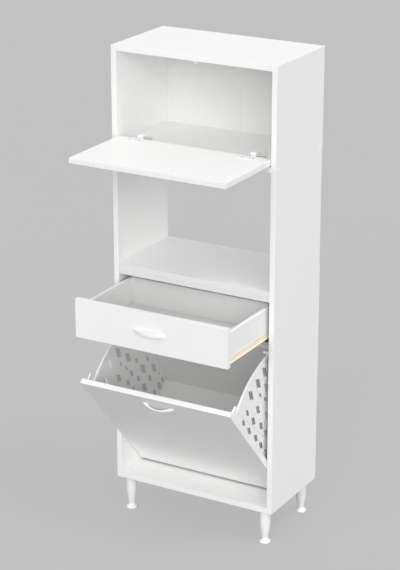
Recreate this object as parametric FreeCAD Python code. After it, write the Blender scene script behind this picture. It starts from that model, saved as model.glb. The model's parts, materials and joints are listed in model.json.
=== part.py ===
import FreeCAD, Part
import math
import os

os.makedirs("parts", exist_ok=True)

# Tall narrow kitchen cabinet: a drop-down flap on top, an open niche for a microwave,
# a drawer on roller runners and a tilt-out bin, on four turned legs.
# Millimetres, X across, Y from front to rear, Z up from the floor.

# Carcass
carcass_width = 600
carcass_depth = 322
carcass_height = 1516
board = 18
back_board = 3
upper_opening_share = 0.2005
niche_opening_share = 0.2599
rail_height = 18
front_gap = 2
side_gap = 2
overrun = 2

# Knock-down fittings
fitting_inset = 50
dowel_offset = 32
dowel_radius = 4
dowel_in_side = 12
dowel_in_panel = 18
cam_radius = 7.5
cam_depth = 12.5
cam_setback = 34
bolt_radius = 3.5
bolt_in_side = 11
fitting_play = 0.15
cover_screw_radius = 2.5
cover_screw_length = 50
cover_head_radius = 3.5
cover_head_height = 4
cover_screw_inset = 16
cap_radius = 6
cap_height = 1.6
nail_radius = 0.9
nail_length = 16
nail_head_radius = 3
nail_head_height = 0.8
nail_pitch = 300
nail_inset = 40
peg_sides = 6
nail_sides = 4
cap_sides = 12
bush_sides = 12

# Turned legs, each with a domed foot
leg_height = 124
leg_radius = 14.5
leg_shoulder_height = 86
leg_ankle_radius = 8.2
leg_ankle_height = 21
leg_belly = 0.9
leg_spigot_radius = 5
leg_spigot_length = 14
leg_inset_x = 38.6
leg_inset_front = 30.4
leg_inset_rear = 27
foot_radius = 16.7
foot_rim_height = 5
foot_sole_radius = 15.2
foot_belly = 0.9
leg_sides = 18
leg_steps = 3
running_clearance = 0.05
edge_bevel_share = 0.33

# Drop-down flap
flap_bottom_gap = 3
flap_pivot_depth = 6.5
flap_pivot_rise = 8
flap_opening_angle = 90
flap_handle_drop = 59
flap_stop_width = 15
flap_stop_height = 15
flap_stop_depth = 14
flap_stop_gap = 0.4

# Flap hinges
hinge_inset = 73
hinge_width = 19
hinge_nose_radius = 4
hinge_pin_radius = 2
hinge_block_gap = 3.5
hinge_block_depth = 26
hinge_block_height = 31
hinge_block_round = 5
hinge_foot_width = 52
hinge_foot_depth = 22
hinge_foot_thickness = 2.5
hinge_notch_clearance = 0.5
hinge_ear = 1.5
hinge_ear_gap = 0.4
leaf_thickness = 1.5
leaf_width = 48
leaf_height = 26
leaf_lift = 6
hinge_screw_offset = 19

# Wood screws of the hinges and runners
screw_radius = 1.75
screw_length = 12
screw_head_radius = 3.4
screw_head_height = 1.2

# Bow handles
handle_length = 120
handle_projection = 19
handle_grip_length = 80
handle_grip_depth = 14.5
handle_height = 15
handle_screw_spacing = 88
handle_screw_radius = 2
handle_screw_bite = 6.5
handle_head_radius = 4
handle_head_height = 1.8

# Drawer
drawer_front_height = 132
drawer_side_thickness = 12
drawer_side_rise = 9
drawer_side_height = 102
drawer_side_round = 3
drawer_bottom_thickness = 4
drawer_bottom_rise = 10
drawer_groove = 6

# Roller runners
runner_length = 300
runner_sheet = 1.2
runner_side_space = 12.5
runner_front_gap = 3
runner_back_gap = 0.5
roller_radius = 7
roller_width = 8
roller_setback = 7.5
roller_gap = 0.3
roller_stop_gap = 0.5
axle_radius = 2
channel_lower_flange = 11
channel_upper_flange = 5.8
track_lip = 5.3
track_hook = 10
track_web = 20
track_ear = 12
runner_screw_inset = 48

# Tilt-out bin
bin_pivot_depth = 91
bin_pivot_rise = 155
bin_sweep_gap = 2
bin_top_gap = 3
bin_handle_drop = 49
bin_wall = 4
bin_sheet = 3
bin_side_space = 15
bin_floor_rise = 84
bin_floor_depth = 272
bin_arc_gap = 47.3
bin_lug_height = 12
bin_rim_width = 4
bin_rim_height = 3
bin_lip_depth = 5
bin_lip_height = 6
bin_back_depth = 313.5
bin_lug_length = 26.8
bin_flange_width = 12
bin_boss_radius = 13
bin_pin_radius = 5
bin_pin_plug = 12
bin_play = 0.3
stop_pin_radius = 5.5
stop_pin_length = 31
stop_pin_depth = 25
stop_pin_plug = 12
stop_clearance = 1.5
finger_drop = 28.3
finger_width = 9
finger_reach = 32
finger_thickness = 7
finger_foot_drop = 9
finger_foot_width = 10

# Lozenge openings of the bin cheeks: their field, their full diagonals and the slip of their side corners
lozenge_field_depth = 280
lozenge_field_gap = 84.3
lozenge_tall = 54
lozenge_wide = 28
lozenge_slip = 4.5
lozenge_margin = 5

# One line per opening: its shares of the field's depth, of the field's height and of the full size
lozenge_shares = (
    (0.457, 0.969, 0.98),
    (0.643, 0.940, 1.00),
    (0.143, 0.917, 0.62),
    (0.271, 0.921, 0.64),
    (0.571, 0.846, 0.45),
    (0.818, 0.915, 1.00),
    (0.143, 0.798, 0.77),
    (0.275, 0.796, 0.83),
    (0.425, 0.796, 0.85),
    (0.600, 0.758, 0.46),
    (0.714, 0.798, 1.00),
    (0.164, 0.667, 0.77),
    (0.329, 0.662, 0.78),
    (0.489, 0.654, 0.63),
    (0.614, 0.667, 0.64),
    (0.782, 0.671, 0.60),
    (0.164, 0.554, 0.74),
    (0.168, 0.446, 0.74),
    (0.321, 0.446, 0.62),
    (0.325, 0.556, 0.74),
    (0.496, 0.548, 0.62),
    (0.646, 0.550, 0.62),
    (0.789, 0.546, 1.00),
    (0.932, 0.548, 0.60),
    (0.164, 0.333, 0.62),
    (0.475, 0.423, 0.70),
    (0.636, 0.421, 0.98),
    (0.786, 0.406, 0.70),
    (0.925, 0.410, 0.96),
    (0.571, 0.275, 0.62),
    (0.707, 0.263, 0.62),
    (0.829, 0.237, 0.88),
    (0.921, 0.231, 0.60),
    (0.936, 0.312, 0.30),
)

# Heights of the carcass, counted from the floor
base_z = leg_height
top_z = base_z + carcass_height
upper_opening = carcass_height * upper_opening_share
niche_opening = carcass_height * niche_opening_share
upper_shelf_z = top_z - board - upper_opening - board
niche_shelf_z = upper_shelf_z - niche_opening - board
rail_z = niche_shelf_z - rail_height
half_width = carcass_width / 2
inner_half = half_width - board
front_half = inner_half - side_gap
bin_half_width = inner_half - bin_side_space
hinge_offset = front_half - hinge_inset

# Drawer heights, and a travel that ends where each rear roller meets the front roller
drawer_top_z = rail_z - front_gap
drawer_z = drawer_top_z - drawer_front_height
drawer_side_z = drawer_z + drawer_side_rise
roller_pitch = 2 * roller_radius + roller_stop_gap
drawer_travel = runner_length - 2 * roller_setback - roller_pitch - runner_front_gap + runner_back_gap

# The origin lies on the floor under the middle of the cabinet's reach from front to rear
front_reach = drawer_travel + handle_projection
rear_reach = carcass_depth + back_board + nail_head_height
front_y = (front_reach - rear_reach) / 2
rear_y = front_y + carcass_depth
inside_y = front_y + board

# Flap, closed against the front plane
flap_z = upper_shelf_z + board + flap_bottom_gap
flap_top_z = top_z - board - front_gap
flap_pivot_y = front_y + flap_pivot_depth
flap_pivot_z = flap_z + flap_pivot_rise

# Bin door, closed: the lower front corner swings clear of the bottom panel
bin_sweep = math.hypot(bin_pivot_depth, bin_pivot_rise)
bin_pivot_y = front_y + bin_pivot_depth
bin_pivot_z = base_z + board + bin_sweep_gap + bin_sweep
bin_z = bin_pivot_z - bin_pivot_rise
bin_top_z = drawer_z - bin_top_gap
bin_height = bin_top_z - bin_z
bin_arc_radius = bin_height - bin_pivot_rise - bin_arc_gap
lozenge_field_height = bin_height - lozenge_field_gap

# Runner heights: the track lip of the drawer rides on the front roller
track_z = drawer_side_z - runner_sheet
channel_height = 2 * (roller_radius + roller_gap + runner_sheet)
channel_z = track_z + runner_sheet - channel_height
roller_z = track_z - roller_gap - roller_radius
channel_y = inside_y + runner_front_gap
drawer_outer = inner_half - runner_side_space

along_x = FreeCAD.Vector(1, 0, 0)
along_y = FreeCAD.Vector(0, 1, 0)
along_z = FreeCAD.Vector(0, 0, 1)
origin = FreeCAD.Vector(0, 0, 0)
sides = (("left", -1), ("right", 1))


def at(x, y, z):
    return FreeCAD.Vector(x, y, z)


def block(x0, x1, y0, y1, z0, z1):
    return Part.makeBox(x1 - x0, y1 - y0, z1 - z0, at(x0, y0, z0))


def rod(start, direction, radius, length):
    return Part.makeCylinder(radius, length, start, direction)


def prism(points, sweep):
    return Part.Face(Part.makePolygon(points + points[:1])).extrude(sweep)


def ring(middle, direction, radius, sides):
    across = along_x if abs(direction.z) > abs(direction.x + direction.y) else along_z
    beside = direction.cross(across)
    points = []
    for index in range(sides):
        turn = 2 * math.pi * index / sides
        points.append(middle + across * (radius * math.cos(turn)) + beside * (radius * math.sin(turn)))
    return points


def peg(start, direction, radius, length, sides=peg_sides):
    # a straight many-sided rod, for small fittings and their holes
    return prism(ring(start, direction, radius, sides), direction * length)


def bush(start, direction, radius, length):
    # a many-sided hole whose flats just clear a round pin
    flat_share = math.cos(math.pi / bush_sides)
    return peg(start, direction, (radius + running_clearance) / flat_share, length, bush_sides)


def banded(rings):
    # a closed solid of flat bands from each ring of points to the next
    outlines = [rings[0], rings[-1]]
    for low, high in zip(rings, rings[1:]):
        for index in range(len(low)):
            outlines.append([low[index - 1], low[index], high[index], high[index - 1]])
    shell = Part.makeShell([Part.Face(Part.makePolygon(points + points[:1])) for points in outlines])
    shell.sewShape()
    return Part.makeSolid(shell)


def swelling(start, end, belly):
    # steps along a turned profile that swells past the straight line between two places
    places = []
    for index in range(1, leg_steps + 1):
        share = index / leg_steps
        radius, height = (low + (high - low) * share for low, high in zip(start, end))
        places.append((radius + belly * math.sin(math.pi * share), height))
    return places


def mirrored(shape):
    return shape.mirror(origin, along_x)


def on_side(shape, sign):
    return shape if sign > 0 else mirrored(shape)


def joined(shapes):
    return shapes[0].multiFuse(shapes[1:]).removeSplitter()


def without(shape, tools):
    return shape.cut(Part.makeCompound(tools)) if tools else shape


def opened(shape, pivot_y, pivot_z, angle):
    moved = shape.copy()
    moved.rotate(at(0, pivot_y, pivot_z), along_x, angle)
    return moved


def pulled(shape):
    moved = shape.copy()
    moved.translate(at(0, -drawer_travel, 0))
    return moved


def save(name, shape):
    solids = shape.Solids
    body = solids[0] if len(solids) == 1 else Part.makeCompound(solids)
    body.exportStep("parts/" + name + ".step")


def screw(seat, direction, radius, length, head_radius, head_height, sides=peg_sides):
    # a head standing on its seat and a plain shank that runs on into the board
    head = peg(seat - direction * head_height, direction, head_radius, head_height, sides)
    shank = peg(seat, direction, radius, length, sides)
    return head.fuse(shank).removeSplitter()


def pilot(seat, direction, radius, length, sides=peg_sides):
    start = seat - direction * overrun
    return peg(start, direction, radius + fitting_play, length + overrun + fitting_play, sides)


# Cutters are gathered for each board while its fittings are made
cuts = {}


def drill(board_name, tool):
    cuts.setdefault(board_name, []).append(tool)


# Cams, bolts and dowels of the top, the niche shelf and the bottom
dowels = []
cam_locks = []
cam_bolts = []
fitting_rows = (
    (front_y + fitting_inset, dowel_offset),
    (rear_y - fitting_inset, -dowel_offset),
)
cammed = (("top_panel", top_z - board), ("niche_shelf", niche_shelf_z), ("bottom_panel", base_z))
for panel, z in cammed:
    for side, sign in sides:
        for y, offset in fitting_rows:
            middle = z + board / 2
            inward = along_x * -sign
            dowel_start = at(sign * (inner_half + dowel_in_side), y + offset, middle)
            dowel_length = dowel_in_side + dowel_in_panel
            dowels.append(peg(dowel_start, inward, dowel_radius, dowel_length))
            cam_x = sign * (inner_half - cam_setback)
            cam_locks.append(peg(at(cam_x, y, z), along_z, cam_radius, cam_depth))
            bolt_start = at(sign * (inner_half + bolt_in_side), y, middle)
            bolt_length = bolt_in_side + cam_setback - cam_radius - 2 * fitting_play
            cam_bolts.append(peg(bolt_start, inward, bolt_radius, bolt_length))
            dowel_hole = peg(dowel_start, inward, dowel_radius + fitting_play, dowel_length)
            bolt_hole = peg(bolt_start, inward, bolt_radius + fitting_play, bolt_in_side + cam_setback)
            cam_hole = peg(at(cam_x, y, z), along_z, cam_radius + fitting_play, cam_depth)
            for part_name in (side + "_side", panel):
                drill(part_name, dowel_hole)
                drill(part_name, bolt_hole)
            drill(panel, cam_hole)

# One dowel at each end of the rail under the niche shelf
for side, sign in sides:
    start = at(sign * (inner_half + dowel_in_side), front_y + board / 2, rail_z + rail_height / 2)
    length = dowel_in_side + dowel_in_panel
    dowels.append(peg(start, along_x * -sign, dowel_radius, length))
    hole = peg(start, along_x * -sign, dowel_radius + fitting_play, length)
    drill(side + "_side", hole)
    drill("niche_rail", hole)

# Cover screws that hold the upper shelf, with caps on the outer faces
shelf_screws = []
screw_caps = []
for side, sign in sides:
    for y in (front_y + cover_screw_inset, rear_y - cover_screw_inset):
        inward = along_x * -sign
        seat = at(sign * half_width, y, upper_shelf_z + board / 2)
        head_seat = seat + inward * cover_head_height
        shank_length = cover_screw_length - cover_head_height
        cover_head = (cover_head_radius, cover_head_height)
        shelf_screws.append(screw(head_seat, inward, cover_screw_radius, shank_length, *cover_head))
        head_hole = peg(seat, inward, cover_head_radius + fitting_play, cover_head_height)
        shank_hole = peg(head_seat, inward, cover_screw_radius + fitting_play, shank_length)
        for part_name in (side + "_side", "upper_shelf"):
            drill(part_name, head_hole)
            drill(part_name, shank_hole)
        screw_caps.append(peg(seat, -inward, cap_radius, cap_height, cap_sides))

# Nails of the two thin backs
nails = []


def nail(x, z, backs):
    seat = at(x, rear_y + back_board, z)
    nail_head = (nail_head_radius, nail_head_height)
    nails.append(screw(seat, -along_y, nail_radius, nail_length, *nail_head, nail_sides))
    for part_name in backs:
        drill(part_name, pilot(seat, -along_y, nail_radius, nail_length, nail_sides))


def nail_column(low, high, back, side, sign):
    count = max(2, round((high - low) / nail_pitch) + 1)
    for index in range(count):
        z = low + (high - low) * index / (count - 1)
        nail(sign * (half_width - board / 2), z, (back, side + "_side"))


for side, sign in sides:
    nail_column(upper_shelf_z + nail_inset, top_z - nail_inset, "upper_back", side, sign)
    nail_column(base_z + nail_inset, niche_shelf_z - nail_inset, "lower_back", side, sign)
nail(0, top_z - board / 2, ("upper_back", "top_panel"))
nail(0, upper_shelf_z + board / 2, ("upper_back", "upper_shelf"))
nail(0, niche_shelf_z + board / 2, ("lower_back", "niche_shelf"))
nail(0, base_z + board / 2, ("lower_back", "bottom_panel"))

# Turned legs, each pushed into the bottom panel by its spigot
leg_end = at(0, 0, base_z)
rim = (foot_radius, foot_rim_height)
ankle = (leg_ankle_radius, leg_ankle_height)
shoulder = (leg_radius, leg_shoulder_height)
leg_profile = [(foot_sole_radius, 0), rim]
leg_profile += swelling(rim, ankle, foot_belly)
leg_profile += swelling(ankle, shoulder, leg_belly)
leg_profile.append((leg_radius, base_z))
leg_rings = [ring(at(0, 0, height), along_z, radius, leg_sides) for radius, height in leg_profile]
spigot = peg(leg_end, along_z, leg_spigot_radius, leg_spigot_length)
leg = joined([banded(leg_rings), spigot])
leg_places = (
    ("front", front_y + leg_inset_front),
    ("rear", rear_y - leg_inset_rear),
)
for side, sign in sides:
    for end, y in leg_places:
        place = at(sign * (half_width - leg_inset_x), y, 0)
        placed = leg.copy()
        placed.translate(place)
        save("_".join(("leg", end, side)), placed)
        socket = peg(
            place + leg_end,
            along_z,
            leg_spigot_radius + fitting_play,
            leg_spigot_length + fitting_play,
        )
        drill("bottom_panel", socket)

# Bow handle: a crescent between two arcs, standing off a face that lies in the XZ plane


def handle():
    half = handle_length / 2
    grip = handle_grip_length / 2
    outer = Part.Arc(at(-half, 0, 0), at(0, -handle_projection, 0), at(half, 0, 0)).toShape()
    inner = Part.Arc(at(-grip, 0, 0), at(0, -handle_grip_depth, 0), at(grip, 0, 0)).toShape()
    feet = [Part.makeLine(at(sign * half, 0, 0), at(sign * grip, 0, 0)) for sign in (-1, 1)]
    outline = Part.Wire(Part.__sortEdges__([outer, inner] + feet))
    bow = Part.Face(outline).extrude(along_z * handle_height)
    bow.translate(along_z * (-handle_height / 2))
    holes = [
        peg(
            at(sign * handle_screw_spacing / 2, overrun, 0),
            -along_y,
            handle_screw_radius + fitting_play,
            handle_screw_bite + overrun + fitting_play,
        )
        for sign in (-1, 1)
    ]
    return without(bow, holes)


def handle_set(y, z, front_name):
    # the handle on an outer face at y, its screws from the inner face, and the holes they need
    bow = handle()
    bow.translate(at(0, y, z))
    screws = []
    for sign in (-1, 1):
        seat = at(sign * handle_screw_spacing / 2, y + board, z)
        shank_length = board + handle_screw_bite
        screws.append(
            screw(
                seat,
                -along_y,
                handle_screw_radius,
                shank_length,
                handle_head_radius,
                handle_head_height,
            )
        )
        drill(front_name, pilot(seat, -along_y, handle_screw_radius, shank_length))
    return bow, Part.makeCompound(screws)


flap_handle, flap_handle_screws = handle_set(front_y, flap_top_z - flap_handle_drop, "flap_panel")
drawer_middle_z = drawer_z + drawer_front_height / 2
drawer_handle, drawer_handle_screws = handle_set(front_y, drawer_middle_z, "drawer_front")
bin_handle, bin_handle_screws = handle_set(front_y, bin_top_z - bin_handle_drop, "bin_door")

# Flap hinges: a block on the shelf whose nose holds the pin, and a leaf let into the flap
shelf_top = upper_shelf_z + board
ear_inner = hinge_width / 2 + hinge_ear_gap
ear_outer = ear_inner + hinge_ear
notch_reach = hinge_nose_radius + hinge_notch_clearance
block_y = inside_y + hinge_block_gap
block_profile = [
    at(0, flap_pivot_y, flap_pivot_z - hinge_nose_radius),
    at(0, block_y, flap_pivot_z - hinge_nose_radius),
    at(0, block_y, shelf_top),
    at(0, block_y + hinge_block_depth, shelf_top),
    at(0, block_y + hinge_block_depth, shelf_top + hinge_block_height - hinge_block_round),
    at(0, block_y + hinge_block_depth - hinge_block_round, shelf_top + hinge_block_height),
    at(0, block_y + hinge_block_round, shelf_top + hinge_block_height),
    at(0, block_y, shelf_top + hinge_block_height - hinge_block_round),
    at(0, block_y, flap_pivot_z + hinge_nose_radius),
    at(0, flap_pivot_y, flap_pivot_z + hinge_nose_radius),
]
leaf_z = flap_pivot_z + leaf_lift
screw_head = (screw_head_radius, screw_head_height)
hinge_pins = []
block_screws = []
leaf_screws = []
for side, sign in sides:
    middle_x = sign * hinge_offset
    body = prism(block_profile, along_x * hinge_width)
    body.translate(along_x * (middle_x - hinge_width / 2))
    nose_start = at(middle_x - hinge_width / 2, flap_pivot_y, flap_pivot_z)
    nose = rod(nose_start, along_x, hinge_nose_radius, hinge_width)
    foot_y = block_y + (hinge_block_depth - hinge_foot_depth) / 2
    foot = block(
        middle_x - hinge_foot_width / 2,
        middle_x + hinge_foot_width / 2,
        foot_y,
        foot_y + hinge_foot_depth,
        shelf_top,
        shelf_top + hinge_foot_thickness,
    )
    hinge_block = joined([body, nose, foot])
    bore = rod(
        nose_start - along_x * overrun,
        along_x,
        hinge_pin_radius + running_clearance,
        hinge_width + 2 * overrun,
    )
    tools = [bore]
    leaf_tools = []
    for end in (-1, 1):
        screw_x = middle_x + end * hinge_screw_offset
        seat = at(screw_x, foot_y + hinge_foot_depth / 2, shelf_top + hinge_foot_thickness)
        block_screws.append(screw(seat, -along_z, screw_radius, screw_length, *screw_head))
        tool = pilot(seat, -along_z, screw_radius, screw_length)
        tools.append(tool)
        drill("upper_shelf", tool)
        leaf_seat = at(screw_x, inside_y + leaf_thickness, leaf_z + leaf_height / 2)
        leaf_screws.append(screw(leaf_seat, -along_y, screw_radius, screw_length, *screw_head))
        tool = pilot(leaf_seat, -along_y, screw_radius, screw_length)
        leaf_tools.append(tool)
        drill("flap_panel", tool)
    save("flap_hinge_block_" + side, without(hinge_block, tools))

    plate = block(
        middle_x - leaf_width / 2,
        middle_x + leaf_width / 2,
        inside_y,
        inside_y + leaf_thickness,
        leaf_z,
        leaf_z + leaf_height,
    )
    leaf_parts = [plate]
    for end in (-1, 1):
        ear = block(
            middle_x + end * ear_inner if end > 0 else middle_x - ear_outer,
            middle_x + ear_outer if end > 0 else middle_x - ear_inner,
            flap_pivot_y - hinge_nose_radius,
            inside_y + leaf_thickness,
            flap_pivot_z - hinge_nose_radius,
            leaf_z + leaf_lift,
        )
        leaf_parts.append(ear)
    pin_start = at(middle_x - ear_outer, flap_pivot_y, flap_pivot_z)
    pin = rod(pin_start, along_x, hinge_pin_radius, 2 * ear_outer)
    leaf_tools.append(bush(pin_start, along_x, hinge_pin_radius, 2 * ear_outer))
    leaf = without(joined(leaf_parts), leaf_tools)
    save("flap_hinge_leaf_" + side, opened(leaf, flap_pivot_y, flap_pivot_z, flap_opening_angle))
    hinge_pins.append(opened(pin, flap_pivot_y, flap_pivot_z, flap_opening_angle))
    notch = block(
        middle_x - ear_outer - fitting_play,
        middle_x + ear_outer + fitting_play,
        flap_pivot_y - notch_reach,
        inside_y + overrun,
        flap_z - overrun,
        flap_pivot_z + notch_reach,
    )
    ear_slot = block(
        middle_x - ear_outer - fitting_play,
        middle_x + ear_outer + fitting_play,
        flap_pivot_y - notch_reach,
        inside_y + overrun,
        flap_pivot_z,
        leaf_z + leaf_lift + fitting_play,
    )
    drill("flap_panel", notch.fuse(ear_slot))
save("hinge_block_screws", Part.makeCompound(block_screws))
save("flap_hinge_pins", Part.makeCompound(hinge_pins))


def flap_open(shape):
    return opened(shape, flap_pivot_y, flap_pivot_z, flap_opening_angle)


flap = block(-front_half, front_half, front_y, inside_y, flap_z, flap_top_z)
save("flap_panel", flap_open(without(flap, cuts["flap_panel"])))
save("flap_handle", flap_open(flap_handle))
save("flap_handle_screws", flap_open(flap_handle_screws))
save("flap_hinge_screws", flap_open(Part.makeCompound(leaf_screws)))
flap_stop = block(
    -flap_stop_width / 2,
    flap_stop_width / 2,
    inside_y + flap_stop_gap,
    inside_y + flap_stop_gap + flap_stop_depth,
    top_z - board - flap_stop_height,
    top_z - board,
)
stop_edges = [edge for edge in flap_stop.Edges if edge.BoundBox.ZMax < top_z - board]
save("flap_stop", flap_stop.makeChamfer(flap_stop_height * edge_bevel_share, stop_edges))

# Cabinet runners: a channel on each side with the front roller's axle
front_rollers = []
rear_rollers = []
runner_screws = []
roller_start = runner_side_space - runner_sheet - roller_width - runner_sheet
front_roller_y = channel_y + roller_setback
rear_roller_y = inside_y + runner_back_gap + runner_length - roller_setback
channel_section = (
    (0, 0),
    (channel_lower_flange, 0),
    (channel_lower_flange, runner_sheet),
    (runner_sheet, runner_sheet),
    (runner_sheet, channel_height - runner_sheet),
    (channel_upper_flange, channel_height - runner_sheet),
    (channel_upper_flange, channel_height),
    (0, channel_height),
)
track_section = (
    (-track_hook, -runner_sheet),
    (track_lip, -runner_sheet),
    (track_lip, 0),
    (runner_sheet, 0),
    (runner_sheet, track_web),
    (0, track_web),
    (0, 0),
    (-track_hook, 0),
)


def roller(y):
    body = rod(at(drawer_outer + roller_start, y, roller_z), along_x, roller_radius, roller_width)
    bore_start = at(drawer_outer + roller_start - overrun, y, roller_z)
    bore_length = roller_width + 2 * overrun
    return body.cut(bush(bore_start, along_x, axle_radius, bore_length))


for side, sign in sides:
    points = [at(inner_half - depth, channel_y, channel_z + rise) for depth, rise in channel_section]
    channel = prism(points, along_y * (runner_length - runner_back_gap))
    axle_length = runner_side_space - runner_sheet - roller_start
    axle_start = at(drawer_outer + roller_start, front_roller_y, roller_z)
    axle = rod(axle_start, along_x, axle_radius, axle_length)
    tools = []
    for y in (channel_y + runner_screw_inset, channel_y + runner_length - runner_screw_inset):
        seat = at(inner_half, y, channel_z + channel_height / 2)
        runner_screw = screw(seat, along_x, screw_radius, screw_length, screw_head_radius, runner_sheet)
        runner_screws.append(on_side(runner_screw, sign))
        tools.append(peg(seat, -along_x, screw_head_radius + fitting_play, runner_sheet + overrun))
        drill(side + "_side", on_side(pilot(seat, along_x, screw_radius, screw_length), sign))
    save("cabinet_runner_" + side, on_side(without(joined([channel, axle]), tools), sign))
    front_rollers.append(on_side(roller(front_roller_y), sign))

    track_y = inside_y + runner_back_gap
    points = [at(drawer_outer + depth, track_y, drawer_side_z + rise) for depth, rise in track_section]
    track = prism(points, along_y * runner_length)
    ear = block(
        drawer_outer,
        drawer_outer + runner_sheet,
        rear_roller_y - track_ear / 2,
        track_y + runner_length,
        roller_z - track_ear / 2,
        drawer_side_z,
    )
    axle_start = at(drawer_outer + runner_sheet, rear_roller_y, roller_z)
    axle = rod(axle_start, along_x, axle_radius, roller_start + roller_width - runner_sheet)
    save("drawer_runner_" + side, pulled(on_side(joined([track, ear, axle]), sign)))
    rear_rollers.append(pulled(on_side(roller(rear_roller_y), sign)))
save("front_rollers", Part.makeCompound(front_rollers))
save("rear_rollers", Part.makeCompound(rear_rollers))
save("runner_screws", Part.makeCompound(runner_screws))

# Drawer box: sides with rounded tops, a back that stands on the bottom, and the front
box_rear = inside_y + runner_length
bottom_z = drawer_side_z + drawer_bottom_rise
drawer_inner = drawer_outer - drawer_side_thickness
drawer_bottom = block(
    -drawer_inner - drawer_groove,
    drawer_inner + drawer_groove,
    inside_y - drawer_groove,
    box_rear,
    bottom_z,
    bottom_z + drawer_bottom_thickness,
)
save("drawer_bottom", pulled(drawer_bottom))
for side, sign in sides:
    wall = block(
        drawer_inner,
        drawer_outer,
        inside_y,
        box_rear,
        drawer_side_z,
        drawer_side_z + drawer_side_height,
    )
    crown = [
        edge
        for edge in wall.Edges
        if edge.BoundBox.ZMin > bottom_z and edge.BoundBox.YLength > drawer_side_thickness
    ]
    wall = on_side(wall.makeFillet(drawer_side_round, crown), sign)
    save("drawer_side_" + side, pulled(wall.cut(drawer_bottom)))
drawer_back = block(
    -drawer_inner,
    drawer_inner,
    box_rear - drawer_side_thickness,
    box_rear,
    bottom_z + drawer_bottom_thickness,
    drawer_side_z + drawer_side_height - drawer_side_round,
)
save("drawer_back", pulled(drawer_back))
drawer_front = block(-front_half, front_half, front_y, inside_y, drawer_z, drawer_top_z)
drawer_front = without(drawer_front, cuts["drawer_front"] + [drawer_bottom])
save("drawer_front", pulled(drawer_front))
save("drawer_handle", pulled(drawer_handle))
save("drawer_handle_screws", pulled(drawer_handle_screws))

# Tilt-out bin: places in the cheek plane are a depth behind the front and a height over the door's foot


def in_cheek(depth, rise):
    return at(0, front_y + depth, bin_z + rise)


def on_arc(radius, angle):
    turn = math.radians(angle)
    return in_cheek(bin_pivot_depth + radius * math.sin(turn), bin_pivot_rise + radius * math.cos(turn))


def arc(radius, start, end):
    middle = (start + end) / 2
    return Part.Arc(on_arc(radius, start), on_arc(radius, middle), on_arc(radius, end)).toShape()


stop_radius = bin_arc_radius + stop_clearance + stop_pin_radius
stop_angle = math.degrees(math.asin((bin_pivot_depth - stop_pin_depth) / stop_radius))
stop_y = front_y + stop_pin_depth
stop_z = bin_pivot_z + stop_radius * math.cos(math.radians(stop_angle))
lug_play = math.degrees(math.asin((stop_pin_radius + bin_play) / stop_radius))
lug_radius = bin_arc_radius + bin_lug_height
back_angle = math.degrees(math.asin((bin_back_depth - bin_pivot_depth) / lug_radius))
lug_angle = back_angle - math.degrees(bin_lug_length / lug_radius)
bin_tilt = lug_angle + stop_angle - lug_play
door_angle = -math.degrees(math.asin((bin_pivot_depth - board) / bin_arc_radius))
heel = in_cheek(bin_floor_depth, bin_floor_rise)
toe = in_cheek(board, bin_floor_rise)
lug_heel = on_arc(lug_radius, back_angle)
cheek_outline = Part.Wire(
    [
        Part.makeLine(toe, heel),
        Part.makeLine(heel, lug_heel),
        arc(lug_radius, back_angle, lug_angle),
        Part.makeLine(on_arc(lug_radius, lug_angle), on_arc(bin_arc_radius, lug_angle)),
        arc(bin_arc_radius, lug_angle, door_angle),
        Part.makeLine(on_arc(bin_arc_radius, door_angle), toe),
    ]
)
cheek_face = Part.Face(cheek_outline)
bin_inner = bin_half_width - bin_wall


def lozenge(depth, rise, share):
    tall = lozenge_tall * share / 2
    wide = lozenge_wide * share / 2
    slip = lozenge_slip * share
    return [
        in_cheek(depth - wide, rise - slip),
        in_cheek(depth, rise + tall),
        in_cheek(depth + wide, rise + slip),
        in_cheek(depth, rise - tall),
    ]


def fits(points):
    # inside the cheek with a margin all round, and clear of the pivot boss
    middle = (points[0] + points[2]) / 2
    pivot = in_cheek(bin_pivot_depth, bin_pivot_rise)
    if (middle - pivot).Length < bin_boss_radius + lozenge_tall / 2:
        return False
    for point in points:
        vertex = Part.Vertex(point)
        if not cheek_face.isInside(point, bin_play, False):
            return False
        if cheek_outline.distToShape(vertex)[0] < lozenge_margin:
            return False
    return True


openings = []
for back_share, up_share, size_share in lozenge_shares:
    diamond = lozenge(lozenge_field_depth * back_share, lozenge_field_height * up_share, size_share)
    if fits(diamond):
        cutter = prism(diamond, along_x * (bin_wall + 2 * overrun))
        cutter.translate(along_x * (bin_inner - overrun))
        openings.append(cutter)

cheek = cheek_face.extrude(along_x * bin_wall)
cheek.translate(along_x * bin_inner)
cheek_top = on_arc(bin_arc_radius, door_angle).z
flange = block(
    bin_half_width,
    bin_half_width + bin_flange_width,
    inside_y,
    inside_y + bin_wall,
    bin_z + bin_floor_rise,
    cheek_top,
)
rim_radius = bin_arc_radius - bin_rim_width
rim_outline = Part.Wire(
    [
        arc(bin_arc_radius, lug_angle, door_angle),
        Part.makeLine(on_arc(bin_arc_radius, door_angle), on_arc(rim_radius, door_angle)),
        arc(rim_radius, door_angle, lug_angle),
        Part.makeLine(on_arc(rim_radius, lug_angle), on_arc(bin_arc_radius, lug_angle)),
    ]
)
rim = Part.Face(rim_outline).extrude(along_x * bin_rim_height)
rim.translate(along_x * bin_half_width)
boss_length = bin_side_space - bin_play
boss = rod(at(bin_half_width, bin_pivot_y, bin_pivot_z), along_x, bin_boss_radius, boss_length)
pivot_bore = rod(
    at(bin_inner - overrun, bin_pivot_y, bin_pivot_z),
    along_x,
    bin_pin_radius + running_clearance,
    bin_wall + boss_length + 2 * overrun,
)
cheek = without(joined([cheek, flange, rim, boss]), openings + [pivot_bore])


def bin_open(shape):
    return opened(shape, bin_pivot_y, bin_pivot_z, bin_tilt)


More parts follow.
